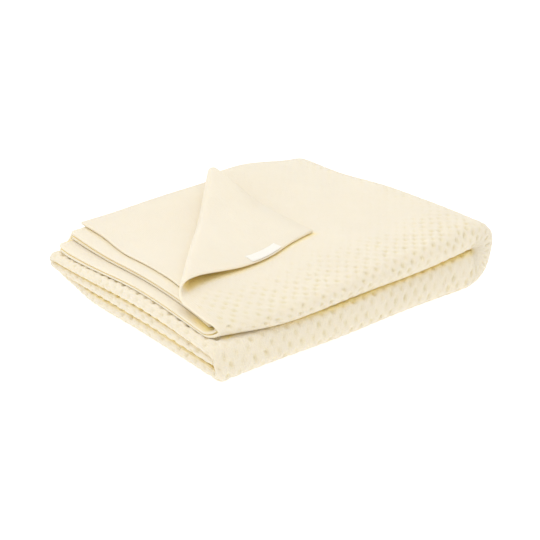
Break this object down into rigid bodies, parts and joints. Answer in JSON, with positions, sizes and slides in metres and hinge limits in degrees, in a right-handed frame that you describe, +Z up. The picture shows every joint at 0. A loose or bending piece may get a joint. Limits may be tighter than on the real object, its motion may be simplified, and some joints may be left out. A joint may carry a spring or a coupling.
{
  "type": "folded knitted blanket",
  "caption": "Cream knitted cot blanket folded into a flat bundle, bumpy side out, with the corner of its top layer turned back to show the smooth side and a bare woven label.",
  "frame": {"origin": "middle of the bundle's box, on its underside", "axes": "+X along the bundle from its open layered end to the end where the layers turn, +Y from the front rolls to the back, +Z up"},
  "size_m": [0.3794, 0.317, 0.0883],
  "materials": {
    "knit": "matt cream cotton knit",
    "tape": "white woven tape, left bare"
  },
  "bodies": {
    "root": {"blanket": "knit", "label": "tape"}
  },
  "joints": []
}
